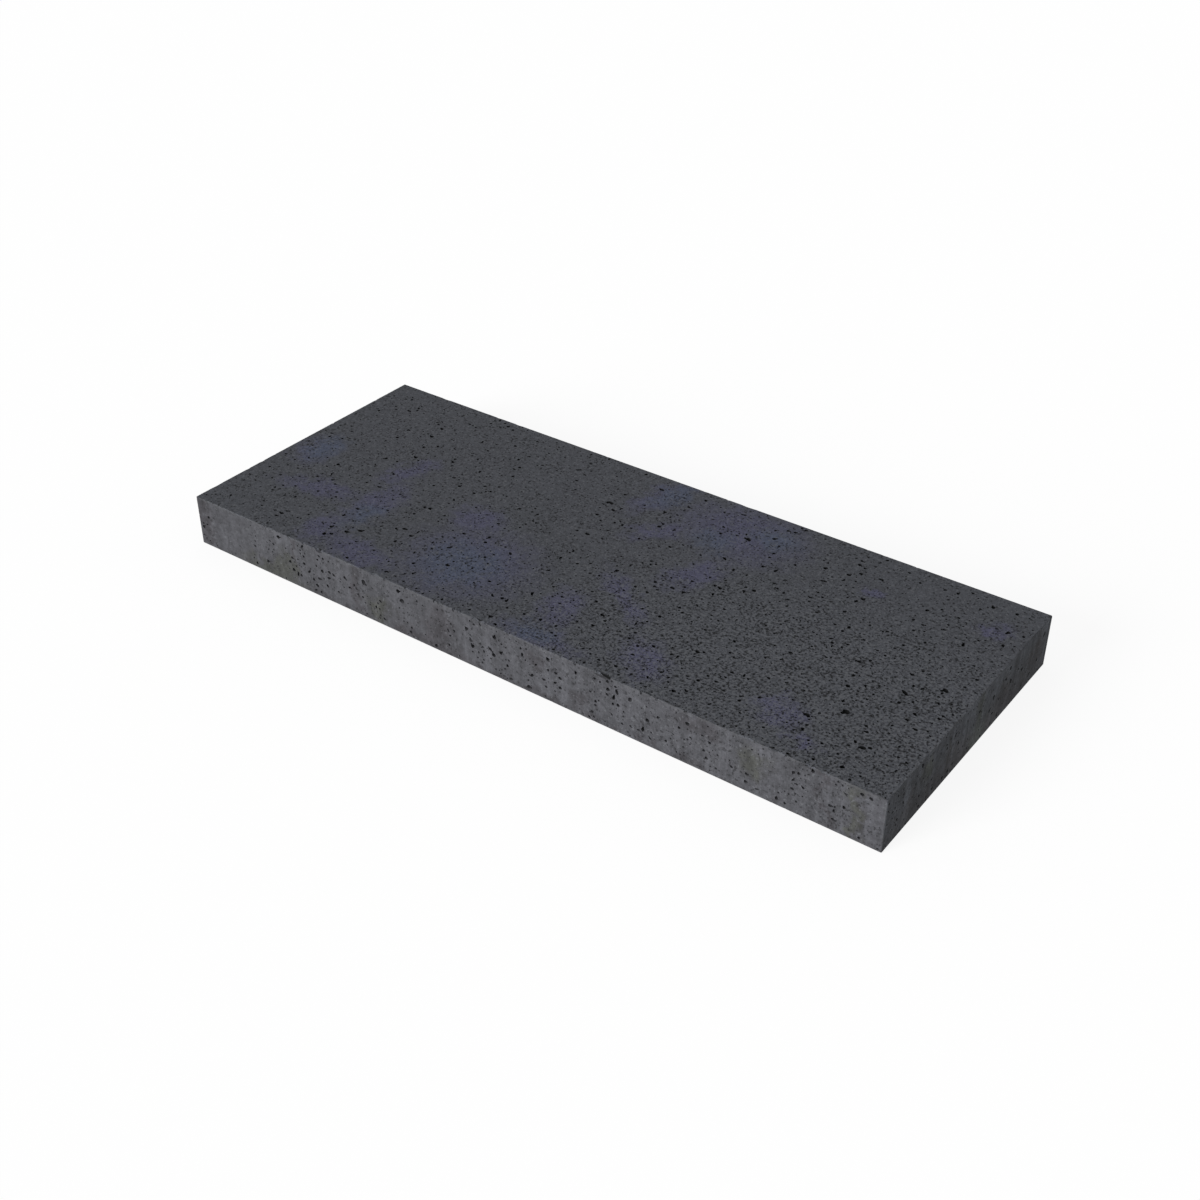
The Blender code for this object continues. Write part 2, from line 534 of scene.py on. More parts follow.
# %% Sort and shade
mesh = stone.data
facet_face = [nearest_face(polygon.center) for polygon in mesh.polygons]
facet_sawn = [
    all(depth_below(face, mesh.vertices[index].co) < ON_PLANE for index in polygon.vertices)
    for face, polygon in zip(facet_face, mesh.polygons, strict=True)
]
SHARP_FROM = math.radians(50)
mesh.set_sharp_from_angle(angle=SHARP_FROM)
for polygon, sawn in zip(mesh.polygons, facet_sawn, strict=True):
    polygon.use_smooth = not sawn
print(f"{sum(facet_sawn)} sawn facets, {len(facet_sawn) - sum(facet_sawn)} in pores and chips")

# %% [markdown]
# ## Unfold the faces
#
# The slab is a box, so its best map is a box unfolded: the two broad faces one
# above the other, then the two long sides, then the two ends side by side. Every
# facet is projected straight onto its own face. Nearly all the pore walls lean
# inwards, so only a few overhanging facets overlap in the map, which is almost a
# square.

# %% The atlas
GAP = 8 * MM
corners = {}
shelf = GAP
for row in (("top",), ("underside",), ("front",), ("back",), ("left", "right")):
    along = GAP
    for face in row:
        corners[face] = Vector((along, shelf))
        along += max(SAWN_FACES[face][1:]) + GAP
    shelf += min(SAWN_FACES[row[0]][1:]) + GAP
side_of_map = max(shelf, size.x + 2 * GAP)

atlas = mesh.uv_layers.new(name="OFBake")
to_face = {face: matrix.inverted() for face, (matrix, _, _) in SAWN_FACES.items()}
for polygon, face in zip(mesh.polygons, facet_face, strict=True):
    _, span_x, span_y = SAWN_FACES[face]
    for corner in polygon.loop_indices:
        flat = to_face[face] @ mesh.vertices[mesh.loops[corner].vertex_index].co
        place = Vector((flat.x + span_x / 2, flat.y + span_y / 2))
        if span_y > span_x:
            place = place.yx
        atlas.data[corner].uv = (corners[face] + place) / side_of_map
print(f"the atlas is {side_of_map / MM:.0f} mm a side")

# %% [markdown]
# ## Tools for drawing nodes
#
# A finish is a small circuit, and a few helpers keep it readable. `wire` adds a
# node and fills its inputs, each with a plain value or with another node's
# output. `calc` is one step of arithmetic, `ramp` maps one range of numbers to
# another, and `blend` mixes two colours. Groups are opened with `new_group`,
# which names what goes in and what comes out.


# %% Node helpers
def fill(tree, socket, value):
    """Set an input, or link it if the value is another node's output."""
    if isinstance(value, bpy.types.NodeSocket):
        tree.links.new(value, socket)
    else:
        socket.default_value = value


def wire(tree, kind, settings=None, **inputs):
    """Add a node. An input is named with _ for a space."""
    made = tree.nodes.new(kind)
    for key, value in (settings or {}).items():
        setattr(made, key, value)
    for key, value in inputs.items():
        fill(tree, made.inputs[key.replace("_", " ")], value)
    return made


def calc(tree, operation, *values, clamp=False):
    """One step of arithmetic on numbers."""
    made = wire(tree, "ShaderNodeMath", {"operation": operation, "use_clamp": clamp})
    for socket, value in zip(made.inputs, values, strict=False):
        fill(tree, socket, value)
    return made.outputs[0]


def vector_calc(tree, operation, *values):
    """One step of arithmetic on vectors."""
    made = wire(tree, "ShaderNodeVectorMath", {"operation": operation})
    for socket, value in zip(made.inputs, values, strict=False):
        fill(tree, socket, value)
    return made.outputs["Value" if operation == "LENGTH" else "Vector"]


def blend(tree, share, first, second):
    """Mix two colours."""
    made = wire(tree, "ShaderNodeMix", {"data_type": "RGBA"})
    for index, value in ((0, share), (6, first), (7, second)):
        fill(tree, made.inputs[index], value)
    return made.outputs[2]


def ramp(tree, value, start, stop, smooth=True, low=0.0, high=1.0):
    """Map a number from one range to another, level outside it."""
    kind = "SMOOTHSTEP" if smooth else "LINEAR"
    made = wire(
        tree,
        "ShaderNodeMapRange",
        {"interpolation_type": kind},
        Value=value,
        From_Min=start,
        From_Max=stop,
        To_Min=low,
        To_Max=high,
    )
    return made.outputs[0]


def new_group(name, inputs, outputs):
    """Open a node group, and return its tree, its inputs and its output node."""
    tree = bpy.data.node_groups.new(name, "ShaderNodeTree")
    kinds = {"vector": "NodeSocketVector", "number": "NodeSocketFloat", "colour": "NodeSocketColor"}
    for key, kind in inputs.items():
        tree.interface.new_socket(key, in_out="INPUT", socket_type=kinds[kind])
    for key, kind in outputs.items():
        tree.interface.new_socket(key, in_out="OUTPUT", socket_type=kinds[kind])
    start = tree.nodes.new("NodeGroupInput").outputs
    finish = tree.nodes.new("NodeGroupOutput").inputs
    return tree, start, finish


def place_group(tree, group, **inputs):
    """Place a group in a tree and return its outputs."""
    made = tree.nodes.new("ShaderNodeGroup")
    made.node_tree = group
    for key, value in inputs.items():
        fill(tree, made.inputs[key.replace("_", " ")], value)
    return made.outputs


# %% [markdown]
# ## Grain
#
# Up close, basalt is a felt of dark and pale crystals, each a fraction of a
# millimetre. From a step back they blur into a faint mottling. The grain group
# gives a shade to multiply the colour by, and a height for the bump, from three
# sizes of noise.


# %% The grain group
GRAIN_PITCHES = (("Crystals", 2 * MM), ("Mottling", 6 * MM), ("Clouds", 40 * MM))


def grain_group():
    """Crystals, mottling and broad clouds, as a shade round 1 and a height."""
    tree, start, finish = new_group(
        "stone grain",
        {"Position": "vector", "Crystals": "number", "Mottling": "number", "Clouds": "number"},
        {"Shade": "number", "Height": "number"},
    )
    shade = 1.0
    crystals = None
    for strength, pitch in GRAIN_PITCHES:
        noise = wire(
            tree,
            "ShaderNodeTexNoise",
            Vector=start["Position"],
            Scale=1 / pitch,
            Detail=2,
            Roughness=0.6,
        ).outputs[0]
        crystals = crystals or noise
        swing = calc(tree, "MULTIPLY", calc(tree, "SUBTRACT", noise, 0.5), start[strength])
        shade = calc(tree, "ADD", shade, swing)
    fill(tree, finish["Shade"], shade)
    fill(tree, finish["Height"], crystals)
    return tree


# %% [markdown]
# ## Pinholes
#
# Below a millimetre and a half the bubbles are too many to cut one by one, and
# they run together in ragged blots. Noise gives the blots: wherever it falls
# below a level there is a hole, so a higher level means more and larger holes.
# These holes are not cut: the sawn finishes paint them near black, as painted
# shade for the dark inside a hole.
# The other end of the same noise picks out pale crystals of feldspar, which can
# then never sit in a hole.


# %% The pinhole group
HOLE_LEVEL = 0.24
CRYSTAL_LEVEL = 0.76
LEVEL_SWING = 0.20
SOFT_RIM = 0.02


def pinhole_group():
    """Ragged holes and pale crystals, as two masks."""
    tree, start, finish = new_group(
        "pinholes",
        {"Position": "vector", "Pitch": "number", "Holes": "number", "Crystals": "number"},
        {"Hole": "number", "Crystal": "number"},
    )
    noise = wire(
        tree,
        "ShaderNodeTexNoise",
        Vector=start["Position"],
        Scale=calc(tree, "DIVIDE", 1.0, start["Pitch"]),
        Detail=1.5,
        Roughness=0.6,
    ).outputs[0]
    masks = (("Hole", "Holes", HOLE_LEVEL, 1), ("Crystal", "Crystals", CRYSTAL_LEVEL, -1))
    for output, share, rarest, way in masks:
        level = calc(tree, "MULTIPLY_ADD", start[share], LEVEL_SWING * way, rarest)
        outer = calc(tree, "ADD", level, SOFT_RIM * way)
        inner = calc(tree, "SUBTRACT", level, SOFT_RIM * way)
        fill(tree, finish[output], ramp(tree, noise, outer, inner))
    return tree


# %% [markdown]
# ## Patches
#
# Where the lava held more iron and glass the cut face has a blue bloom, in
# soft-edged islands as large as a hand. An island is an ellipse with a gradual
# border, measured from a position that noise has already bent, so that its shore
# wanders. The group draws one island, and a finish places as many as it needs.


# %% The patch group
SHORE = 1.40
HEART = 0.35


def patch_group():
    """One soft-edged island, as a mask."""
    tree, start, finish = new_group(
        "patch",
        {"Position": "vector", "Centre": "vector", "Radii": "vector", "Turn": "number"},
        {"Mask": "number"},
    )
    away = vector_calc(tree, "SUBTRACT", start["Position"], start["Centre"])
    turned = wire(
        tree,
        "ShaderNodeVectorRotate",
        {"rotation_type": "Z_AXIS"},
        Vector=away,
        Angle=start["Turn"],
    ).outputs[0]
    distance = vector_calc(tree, "LENGTH", vector_calc(tree, "DIVIDE", turned, start["Radii"]))
    fill(tree, finish["Mask"], ramp(tree, distance, SHORE, HEART))
    return tree


# %% [markdown]
# ## Saw streaks
#
# The edges of a slab are cut by a blade that runs up and down, and it leaves
# faint upright streaks: fine scratches, and broader bands where the blade
# slowed. Both are noise on a position that is squeezed along the stroke.


# %% The streak group
SCRATCH = (1.3 * MM, 45 * MM)
BAND = (14 * MM, 160 * MM)


def streak_group():
    """Upright saw marks, as a shade round 1 and a height."""
    tree, start, finish = new_group(
        "saw streaks",
        {"Position": "vector", "Scratches": "number", "Bands": "number"},
        {"Shade": "number", "Height": "number"},
    )
    marks = []
    for width, stroke in (SCRATCH, BAND):
        squeezed = vector_calc(tree, "MULTIPLY", start["Position"], (1 / width, 1 / width, 1 / stroke))
        noise = wire(tree, "ShaderNodeTexNoise", Vector=squeezed, Scale=1.0, Detail=2, Roughness=0.5)
        marks.append(calc(tree, "SUBTRACT", noise.outputs[0], 0.5))
    scratches = calc(tree, "MULTIPLY", marks[0], start["Scratches"])
    bands = calc(tree, "MULTIPLY", marks[1], start["Bands"])
    fill(tree, finish["Shade"], calc(tree, "ADD", calc(tree, "ADD", scratches, bands), 1.0))
    fill(tree, finish["Height"], marks[0])
    return tree


# %% [markdown]
# ## Worn arrises and buried walls
#
# An arris is knocked before a face is, so a ragged line of paler, crushed stone
# runs along it. A point's distances to the three pairs of faces tell both how
# deep it is buried and how near an arris it lies: the smallest of the three is
# its depth, and the middle one is its distance to the arris. The first drives the
# painted shade that darkens a deep pore. The second, broken up by noise, is the wear.


# %% The depth and wear groups
RAGGED_PITCH = 9 * MM
RAGGED_REACH = (0.1, 2.0)


def face_distances(tree, position):
    """A point's distances to the nearer face of each pair, as three numbers."""
    from_middle = vector_calc(tree, "SUBTRACT", position, tuple(middle))
    inside = vector_calc(tree, "SUBTRACT", tuple(size / 2), vector_calc(tree, "ABSOLUTE", from_middle))
    return wire(tree, "ShaderNodeSeparateXYZ", Vector=inside).outputs


def depth_group():
    """How deep a point lies below the nearest sawn face."""
    tree, start, finish = new_group("depth", {"Position": "vector"}, {"Depth": "number"})
    axes = face_distances(tree, start["Position"])
    fill(tree, finish["Depth"], calc(tree, "MINIMUM", calc(tree, "MINIMUM", axes[0], axes[1]), axes[2]))
    return tree


def wear_group():
    """Wear that is 1 on an arris and fades over a ragged reach."""
    tree, start, finish = new_group(
        "arris wear",
        {"Position": "vector", "Reach": "number"},
        {"Wear": "number"},
    )
    axes = face_distances(tree, start["Position"])
    smaller = calc(tree, "MINIMUM", axes[0], axes[1])
    larger = calc(tree, "MAXIMUM", axes[0], axes[1])
    to_arris = calc(tree, "MAXIMUM", smaller, calc(tree, "MINIMUM", larger, axes[2]))
    noise = wire(tree, "ShaderNodeTexNoise", Vector=start["Position"], Scale=1 / RAGGED_PITCH, Detail=3)
    ragged = ramp(tree, noise.outputs[0], 0.35, 0.65, False, *RAGGED_REACH)
    reach = calc(tree, "MULTIPLY", start["Reach"], ragged)
    fill(tree, finish["Wear"], ramp(tree, to_arris, reach, 0.0))
    return tree


DEPTH = depth_group()
GRAIN = grain_group()
PINHOLES = pinhole_group()
PATCH = patch_group()
STREAKS = streak_group()
WEAR = wear_group()

# %% [markdown]
# ## The sawn faces
#
# One function builds every sawn finish, and the two broad faces, the long sides
# and the ends pass it their own values. The colour is built in layers, as the
# eye reads it: charcoal, bloom over it, grain and streaks that shade both, then
# pinholes painted near black as painted shade, and wear on top.

# %% Colours of the stone
CHARCOAL = (0.0490, 0.0519, 0.0603, 1)
SIDE_GREY = (0.0527, 0.0533, 0.0600, 1)
END_GREY = (0.0478, 0.0518, 0.0605, 1)
VIOLET_BLOOM = (0.0540, 0.0545, 0.0875, 1)
TEAL_BLOOM = (0.0500, 0.0590, 0.0900, 1)
OLIVE = (0.0430, 0.0442, 0.0412, 1)
UMBER = (0.0365, 0.0350, 0.0395, 1)
END_OLIVE = (0.0400, 0.0450, 0.0400, 1)
END_UMBER = (0.0310, 0.0295, 0.0320, 1)
PALE_CRYSTAL = (0.1050, 0.1090, 0.1180, 1)
CRUSHED = (0.0850, 0.0870, 0.0930, 1)
# Near black: painted shade, laid on pinholes too small to cut and on the deep walls of pores.
PAINTED_SHADE = (0.0030, 0.0032, 0.0036, 1)
SHORE_PITCH = 24 * MM


def froth_mask(tree, position):
    """The froth again, drawn with nodes."""
    away = vector_calc(tree, "SUBTRACT", position, tuple(FROTH_CENTRE))
    flat = vector_calc(tree, "MULTIPLY", away, (1 / FROTH_RADII.x, 1 / FROTH_RADII.y, 0))
    return ramp(tree, vector_calc(tree, "LENGTH", flat), FROTH_NONE, FROTH_FULL)


def islands(tree, position, places, wander):
    """Draw several patches, bent together, and join them in one mask."""
    noise = wire(
        tree, "ShaderNodeTexNoise", Vector=position, Scale=1 / SHORE_PITCH, Detail=3, Roughness=0.65
    )
    shift = vector_calc(tree, "SUBTRACT", noise.outputs["Color"], (0.5, 0.5, 0.5))
    bent = vector_calc(
        tree, "ADD", position, vector_calc(tree, "MULTIPLY", shift, (wander, wander, wander))
    )
    joined = 0.0
    for centre, radii, degrees in places:
        mask = place_group(
            tree,
            PATCH,
            Position=bent,
            Centre=centre,
            Radii=radii,
            Turn=math.radians(degrees),
        )["Mask"]
        joined = calc(tree, "MAXIMUM", joined, mask)
    return joined


def tint(tree, colour, shade):
    """Multiply a colour by a number."""
    grey = wire(tree, "ShaderNodeCombineColor", Red=shade, Green=shade, Blue=shade).outputs[0]
    made = wire(tree, "ShaderNodeMix", {"data_type": "RGBA", "blend_type": "MULTIPLY"})
    for index, value in ((0, 1.0), (6, colour), (7, grey)):
        fill(tree, made.inputs[index], value)
    return made.outputs[2]


# %% [markdown]
# ## The layers of a sawn finish
#
# Each layer is a function that takes the colour so far and returns the next one.
# The bloom comes first, because it is in the stone itself. The felt of crystals
# and the saw's streaks then shade it. The pinholes and pale crystals lie over
# both, and gather in clusters, as the cut pores do. The pinholes and their blots
# are painted near black: painted shade for holes too small to cut.

# %% Bloom, grain and pinholes
BLOOM_WANDER = 60 * MM
BLOOM_PITCH = 11 * MM
BLOOM_THIN = (0.10, 0.50)
FROTH_LIFT = 0.06
FROTH_GRAIN = 0.6
CRYSTAL_STRENGTH = 0.5
PINHOLE_CLUSTER = 26 * MM
CLUSTER_STRENGTH = 0.9
BLOT_PITCH = 1.9
BLOT_SHYNESS = 0.15
BLOT_SHADE_STRENGTH = 0.6


def bloom_layer(tree, position, ground, patch_colours, patches, cores):
    """The ground colour with its patches, which may have cores of another colour."""
    noise = wire(tree, "ShaderNodeTexNoise", Vector=position, Scale=1 / BLOOM_PITCH, Detail=3)
    thin = ramp(tree, noise.outputs[0], *BLOOM_THIN)
    patch_colour = blend(tree, islands(tree, position, cores, BLOOM_WANDER), *patch_colours)
    bloom = calc(tree, "MULTIPLY", islands(tree, position, patches, BLOOM_WANDER), thin)
    return blend(tree, bloom, ground, patch_colour)


def grain_layer(tree, position, frothy, colour, grain, streaks):
    """The colour shaded by grain and streaks, and the outputs of both groups."""
    felt = place_group(
        tree,
        GRAIN,
        Position=position,
        Crystals=calc(tree, "MULTIPLY_ADD", frothy, grain[0] * FROTH_GRAIN, grain[0]),
        Mottling=grain[1],
        Clouds=grain[2],
    )
    sawn = place_group(tree, STREAKS, Position=position, Scratches=streaks[0], Bands=streaks[1])
    lift = calc(tree, "MULTIPLY_ADD", frothy, FROTH_LIFT, 1.0)
    shade = calc(tree, "MULTIPLY", calc(tree, "MULTIPLY", felt["Shade"], sawn["Shade"]), lift)
    return tint(tree, colour, shade), felt, sawn


def pinhole_layer(tree, position, frothy, colour, holes, crystals):
    """The colour with pale crystals, blots and pinholes painted near black as painted shade, and the
    mask of the holes.
    """
    pitch, share, froth_share, hole_shade = holes
    cluster = wire(tree, "ShaderNodeTexNoise", Vector=position, Scale=1 / PINHOLE_CLUSTER, Detail=2)
    swing = calc(tree, "SUBTRACT", cluster.outputs[0], 0.5)
    many = calc(tree, "MULTIPLY_ADD", frothy, froth_share, share)
    many = calc(tree, "ADD", many, calc(tree, "MULTIPLY", swing, CLUSTER_STRENGTH))
    fine = place_group(
        tree,
        PINHOLES,
        Position=position,
        Pitch=pitch,
        Holes=many,
        Crystals=calc(tree, "MULTIPLY_ADD", frothy, crystals[1], crystals[0]),
    )
    blots = place_group(
        tree,
        PINHOLES,
        Position=position,
        Pitch=pitch * BLOT_PITCH,
        Holes=calc(tree, "SUBTRACT", many, BLOT_SHYNESS),
    )
    crystal = calc(tree, "MULTIPLY", fine["Crystal"], CRYSTAL_STRENGTH)
    colour = blend(tree, crystal, colour, PALE_CRYSTAL)
    # Blots and pinholes are painted near black: painted shade for holes too small to cut, set weaker on
    # the sides and ends.
    blot_shade = calc(tree, "MULTIPLY", blots["Hole"], BLOT_SHADE_STRENGTH * hole_shade)
    colour = blend(tree, blot_shade, colour, PAINTED_SHADE)
    colour = blend(tree, calc(tree, "MULTIPLY", fine["Hole"], hole_shade), colour, PAINTED_SHADE)
    return colour, fine["Hole"]


# %% [markdown]
# ## A sawn finish
#
# The layers go into one shader. Its roughness follows the crystals, and its bump
# is the felt and the scratches standing up and the pinholes sunk in. Sawn stone
# is dull, so it mirrors only half of what polished stone would.


# %% A sawn finish
SAWN_ROUGHNESS = (0.72, 0.92)
SAWN_SPECULAR = 0.25
HOLE_SINK = 1.5
BUMP_STRENGTH = 0.6
SAWN_BUMP = 0.4 * MM


def sawn_finish(name, ground, patch_colours, patches, cores, grain, streaks, holes, crystals, wear):
    """A finish for sawn stone, with patches in one colour and their cores in another."""
    material = bpy.data.materials.new(name)
    material.use_nodes = True
    tree = material.node_tree
    shader = tree.nodes["Principled BSDF"]
    position = tree.nodes.new("ShaderNodeTexCoord").outputs["Object"]
    frothy = froth_mask(tree, position)
    colour = bloom_layer(tree, position, ground, patch_colours, patches, cores)
    colour, felt, sawn = grain_layer(tree, position, frothy, colour, grain, streaks)
    colour, hole = pinhole_layer(tree, position, frothy, colour, holes, crystals)
    worn = place_group(tree, WEAR, Position=position, Reach=wear[0])["Wear"]
    colour = blend(tree, calc(tree, "MULTIPLY", worn, wear[1]), colour, CRUSHED)
    fill(tree, shader.inputs["Base Color"], colour)
    roughness = ramp(tree, felt["Height"], 0.2, 0.8, False, *SAWN_ROUGHNESS)
    fill(tree, shader.inputs["Roughness"], roughness)
    shader.inputs["Specular IOR Level"].default_value = SAWN_SPECULAR

    relief = calc(tree, "SUBTRACT", felt["Height"], calc(tree, "MULTIPLY", hole, HOLE_SINK))
    relief = calc(tree, "ADD", relief, calc(tree, "MULTIPLY", sawn["Height"], streaks[0]))
    bump = wire(tree, "ShaderNodeBump", Strength=BUMP_STRENGTH, Distance=SAWN_BUMP, Height=relief)
    fill(tree, shader.inputs["Normal"], bump.outputs[0])
    return material


# %% [markdown]
# ## Where the bloom lies
#
# The broad faces share one list of violet islands, and a shorter one of teal
# cores inside them. Each is a centre, two radii in millimetres and a turn. The
# place is a share of the slab's half length and half width, so a longer slab
# keeps its pattern.

# %% The islands of bloom
BLOOM_ISLANDS = (
    (-0.02, 0.80, 24, 62, 20),
    (0.06, 0.42, 20, 45, 40),
    (0.23, 0.70, 88, 62, 0),
    (0.24, 0.15, 24, 48, 25),
    (0.16, -0.30, 62, 17, 38),
    (0.07, -0.62, 26, 42, -20),
    (0.10, -0.92, 55, 20, 0),
    (0.34, -0.74, 28, 40, -40),
    (-0.23, -0.56, 84, 76, 0),
    (-0.34, -0.16, 40, 32, 0),
    (-0.48, -0.86, 62, 24, 0),
    (-0.60, -0.40, 30, 62, 0),
    (-0.64, 0.05, 20, 42, 20),
    (-0.63, -0.78, 26, 38, 0),
    (-0.78, -0.45, 62, 20, -12),
    (-0.92, -0.08, 32, 40, 0),
    (0.68, -0.70, 30, 26, 0),
    (0.77, -0.84, 20, 14, 0),
    (0.63, 0.58, 12, 14, 0),
    (0.92, 0.66, 20, 16, -20),
)
TEAL_CORES = (
    (-0.24, -0.60, 60, 50, 0),
    (-0.91, 0.00, 32, 50, 0),
    (-0.58, -0.55, 26, 34, 0),
    (0.00, 0.85, 24, 46, 20),
    (0.19, 0.50, 30, 30, 0),
    (0.32, 0.75, 34, 26, 0),
    (0.08, -0.90, 34, 20, 0),
)


def on_slab(places):
    """Shares and millimetres as points and radii that ignore the height."""
    return [
        ((x * size.x / 2, y * size.y / 2, 0), (across * MM, along * MM, 1.0), degrees)
        for x, y, across, along, degrees in places
    ]


# %% [markdown]
# ## Where the sides are stained
#
# Slurry ran down the sides and the ends and dried there: upright bands where it
# ran, and smudges where it gathered. The last patch of each list makes the foot
# darker: a thin band along the foot of the long sides, and the ends darker
# towards the bottom. These are patches too, but lie in the plane of the side, so
# their second share is of the half height.

# %% The stains
SIDE_STAINS_AND_DARK_FOOT = (
    (-0.98, 0.0, 16, 60),
    (-0.75, -0.9, 60, 18),
    (-0.69, -0.4, 22, 24),
    (-0.66, 0.1, 5, 60),
    (-0.44, 0.0, 7, 70),
    (-0.37, -0.4, 26, 20),
    (-0.18, 0.0, 24, 34),
    (-0.20, -0.9, 60, 16),
    (0.11, 0.4, 9, 16),
    (0.24, -0.5, 14, 14),
    (0.55, 0.7, 34, 12),
    (0.69, 0.2, 22, 24),
    (0.86, 0.0, 4, 70),
    (0.93, 0.0, 10, 60),
    # A thin darker band along the foot.
    (0.0, -1.1, 600, 9),
)
END_STAINS_AND_DARK_FOOT = (
    (-0.55, 0.4, 20, 16),
    (-0.72, -0.1, 6, 40),
    (-0.28, -0.2, 7, 40),
    (0.08, 0.0, 9, 60),
    (0.40, -0.3, 12, 34),
    (0.80, 0.1, 28, 22),
    # The ends darker towards the bottom.
    (0.0, -1.1, 300, 44),
)
END_OLIVE_CORES = (
    (0.08, 0.0, 22, 60),
    (-0.55, 0.4, 24, 20),
)
OLIVE_CORES = (
    (-0.69, -0.4, 26, 30),
    (-0.37, -0.4, 26, 24),
    (0.69, 0.2, 26, 30),
    (0.92, 0.0, 14, 60),
    (-0.75, -0.9, 70, 16),
)
FLAT = 1.0


def on_sides(places):
    """Shares and millimetres on the long sides, as points and radii."""
    return [
        ((x * size.x / 2, 0, middle.z + z * size.z / 2), (across * MM, FLAT, up * MM), 0)
        for x, z, across, up in places
    ]


def on_ends(places):
    """Shares and millimetres on the ends, as points and radii."""
    return [
        ((0, y * size.y / 2, middle.z + z * size.z / 2), (FLAT, across * MM, up * MM), 0)
        for y, z, across, up in places
    ]


BROAD = sawn_finish(
    "sawn_broad_face",
    CHARCOAL,
    (VIOLET_BLOOM, TEAL_BLOOM),
    on_slab(BLOOM_ISLANDS),
    on_slab(TEAL_CORES),
    grain=(1.50, 1.00, 0.05),
    streaks=(0.0, 0.0),
    holes=(3.3 * MM, 0.57, 0.19, 0.85),
    crystals=(0.66, 0.32),
    wear=(2.0 * MM, 0.35),
)
LONG_SIDE = sawn_finish(
    "sawn_long_side",
    SIDE_GREY,
    (UMBER, OLIVE),
    on_sides(SIDE_STAINS_AND_DARK_FOOT),
    on_sides(OLIVE_CORES),
    grain=(0.60, 1.10, 0.60),
    streaks=(0.50, 0.75),
    holes=(3.8 * MM, 0.42, 0.10, 0.55),
    crystals=(0.35, 0.10),
    wear=(3.0 * MM, 0.38),
)
END = sawn_finish(
    "sawn_end",
    END_GREY,
    (END_UMBER, END_OLIVE),
    on_ends(END_STAINS_AND_DARK_FOOT),
    on_ends(END_OLIVE_CORES),
    grain=(0.60, 1.30, 1.20),
    streaks=(0.80, 1.80),
    holes=(3.8 * MM, 0.34, 0.15, 0.55),
    crystals=(0.25, 0.10),
    wear=(2.0 * MM, 0.25),
)

# %% [markdown]
# ## Inside the pores
#
# A pore's wall was never touched by the saw. It is the glassy skin of an old
# bubble, dark and rough, and it holds dust where the slurry of the saw dried.
# Its colour then fades to near black with depth, as painted shade. On the broad
# faces the wall is near black throughout, partly its own dark glass and partly
# painted shade.


# %% The pore walls
WALL_PITCH = 1.2 * MM
SHADE_START_DEPTH = 0.2 * MM
WALL_ROUGHNESS = 0.9
WALL_SPECULAR = 0.15
WALL_BUMP = 0.2 * MM


def wall_finish(name, dark, dust, deep):
    """A finish for the inside of a pore, with painted shade that darkens it towards its deepest."""
    material = bpy.data.materials.new(name)
    material.use_nodes = True
    tree = material.node_tree
    shader = tree.nodes["Principled BSDF"]
    position = tree.nodes.new("ShaderNodeTexCoord").outputs["Object"]
    noise = wire(tree, "ShaderNodeTexNoise", Vector=position, Scale=1 / WALL_PITCH, Detail=2)
    buried = place_group(tree, DEPTH, Position=position)["Depth"]
    colour = blend(tree, ramp(tree, noise.outputs[0], 0.4, 0.7), dark, dust)
    # Painted shade: the wall fades to near black with depth below the face.
    colour = blend(tree, ramp(tree, buried, SHADE_START_DEPTH, deep), colour, PAINTED_SHADE)
    fill(tree, shader.inputs["Base Color"], colour)
    shader.inputs["Roughness"].default_value = WALL_ROUGHNESS
    shader.inputs["Specular IOR Level"].default_value = WALL_SPECULAR
    relief = noise.outputs[0]
    bump = wire(tree, "ShaderNodeBump", Strength=BUMP_STRENGTH, Distance=WALL_BUMP, Height=relief)
    fill(tree, shader.inputs["Normal"], bump.outputs[0])
    return material


# Near-black walls for the broad faces: the glass's own dark, and partly painted shade.
DARK_SHADED_WALL = wall_finish(
    "pore_wall",
    dark=(0.006, 0.006, 0.007, 1),
    dust=(0.018, 0.019, 0.021, 1),
    deep=1.0 * MM,
)
DUSTY_WALL = wall_finish(
    "dusty_pore_wall",
    dark=(0.028, 0.028, 0.031, 1),
    dust=(0.047, 0.047, 0.052, 1),
    deep=5.0 * MM,
)

# %% Put the finishes on
FINISHES = (BROAD, LONG_SIDE, END, DARK_SHADED_WALL, DUSTY_WALL)
SAWN_SLOT = {"top": 0, "underside": 0, "front": 1, "back": 1, "left": 2, "right": 2}
WALL_SLOT = {"top": 3, "underside": 3, "front": 4, "back": 4, "left": 4, "right": 4}
CHIP_REACH = 2.5 * MM

mesh.materials.clear()
for finish in FINISHES:
    mesh.materials.append(finish)
for polygon, face, sawn in zip(mesh.polygons, facet_face, facet_sawn, strict=True):
    near_planes = sum(depth_below(other, polygon.center) < CHIP_REACH for other in PLANES)
    whole = sawn or near_planes > 1
    polygon.material_index = (SAWN_SLOT if whole else WALL_SLOT)[face]

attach(stone, "root")
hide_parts("basalt_slab")

# %% [markdown]
# ## The studio
#
# The stone is nearly black, so the studio is nearly white. The floor glows a
# little, which keeps it pale right up to the stone and leaves only a faint
# shadow. It throws no light on the stone and is not mirrored in it, because a
# white floor would brighten the foot of each side. One large lamp stands in
# front and to the left, low enough to light the long side more than the top, and
# the sky fills the rest.

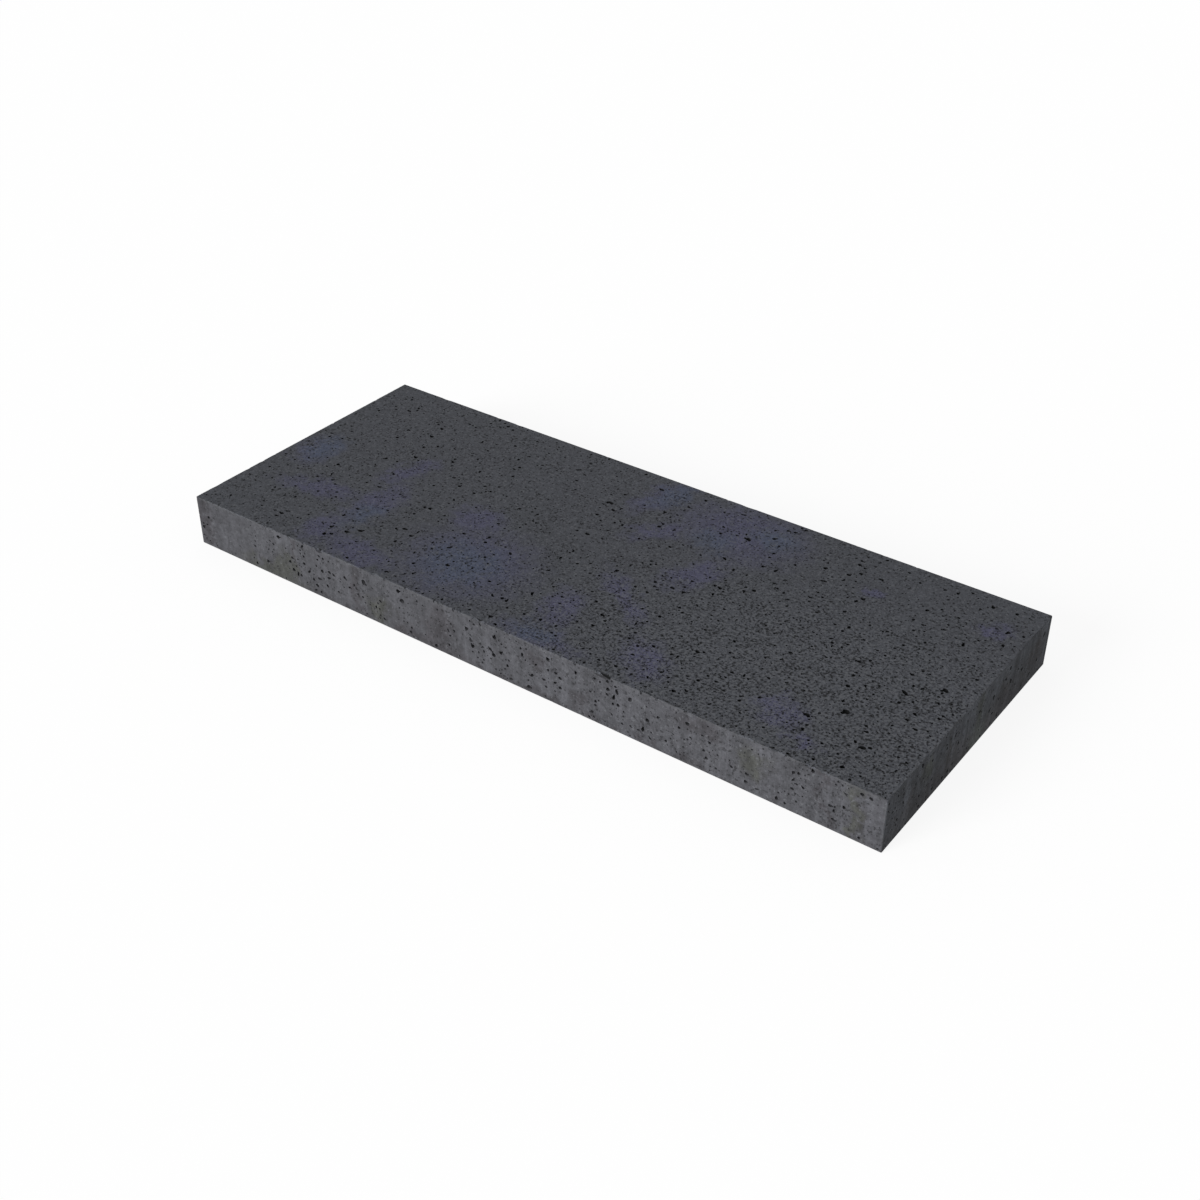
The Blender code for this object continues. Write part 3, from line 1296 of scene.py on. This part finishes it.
# %% The floor
FLOOR_SIZE = 14
FLOOR_GAP = 0.3 * MM
FLOOR_PAINT = (0.12, 0.12, 0.12, 1)
FLOOR_GLOW = 0.88
bm = bmesh.new()
bmesh.ops.create_grid(
    bm,
    x_segments=1,
    y_segments=1,
    size=FLOOR_SIZE / 2,
    matrix=Matrix.Translation((0, 0, low.z - FLOOR_GAP)),
)
floor = object_from(bm, "floor")
paint = bpy.data.materials.new("pale_floor")
paint.use_nodes = True
shader = paint.node_tree.nodes["Principled BSDF"]
shader.inputs["Base Color"].default_value = FLOOR_PAINT
shader.inputs["Roughness"].default_value = 1.0
shader.inputs["Specular IOR Level"].default_value = 0.0
shader.inputs["Emission Color"].default_value = (1, 1, 1, 1)
shader.inputs["Emission Strength"].default_value = FLOOR_GLOW
floor.data.materials.append(paint)
floor.visible_diffuse = False
floor.visible_glossy = False

# %% The sky and the lamp
SKY_LIGHT = 0.58
SKY_SEEN = 1.0
LAMP_STRENGTH = 3.9
LAMP_SOFTNESS = 30
LAMP_FROM = Vector((-0.32, -0.85, 0.28))

world = bpy.data.worlds.new("studio")
world.use_nodes = True
bpy.context.scene.world = world
seen = wire(world.node_tree, "ShaderNodeLightPath").outputs["Is Camera Ray"]
strength = ramp(world.node_tree, seen, 0.0, 1.0, False, SKY_LIGHT, SKY_SEEN)
fill(world.node_tree, world.node_tree.nodes["Background"].inputs["Color"], (1, 1, 1, 1))
fill(world.node_tree, world.node_tree.nodes["Background"].inputs["Strength"], strength)

lamp_data = bpy.data.lights.new("lamp", "SUN")
lamp_data.energy = LAMP_STRENGTH
lamp_data.angle = math.radians(LAMP_SOFTNESS)
lamp = bpy.data.objects.new("lamp", lamp_data)
lamp.rotation_mode = "QUATERNION"
lamp.rotation_quaternion = LAMP_FROM.to_track_quat("Z", "Y")
bpy.context.scene.collection.objects.link(lamp)

# %% [markdown]
# ## The camera
#
# The camera looks down at the slab from in front and to the right, with a
# normal lens. Its place is given as a photographer would: how far round, how far
# up, how far away, and the spot on the top face that it looks at.

# %% The camera
ROUND = math.radians(36.34)
UP = math.radians(34.07)
AWAY = 1.888 * size.x
LENS = 48.5
SENSOR = 36
LOOK_AT = Vector((0.0613 * size.x, -0.0834 * size.x, high.z))

towards = Vector((math.sin(ROUND) * math.cos(UP), -math.cos(ROUND) * math.cos(UP), math.sin(UP)))
camera_data = bpy.data.cameras.new("camera")
camera_data.lens = LENS
camera_data.sensor_width = SENSOR
camera = bpy.data.objects.new("camera", camera_data)
camera.location = LOOK_AT + towards * AWAY
camera.rotation_mode = "QUATERNION"
camera.rotation_quaternion = towards.to_track_quat("Z", "Y")
bpy.context.scene.collection.objects.link(camera)
bpy.context.scene.camera = camera
bpy.context.scene.view_settings.view_transform = "Standard"
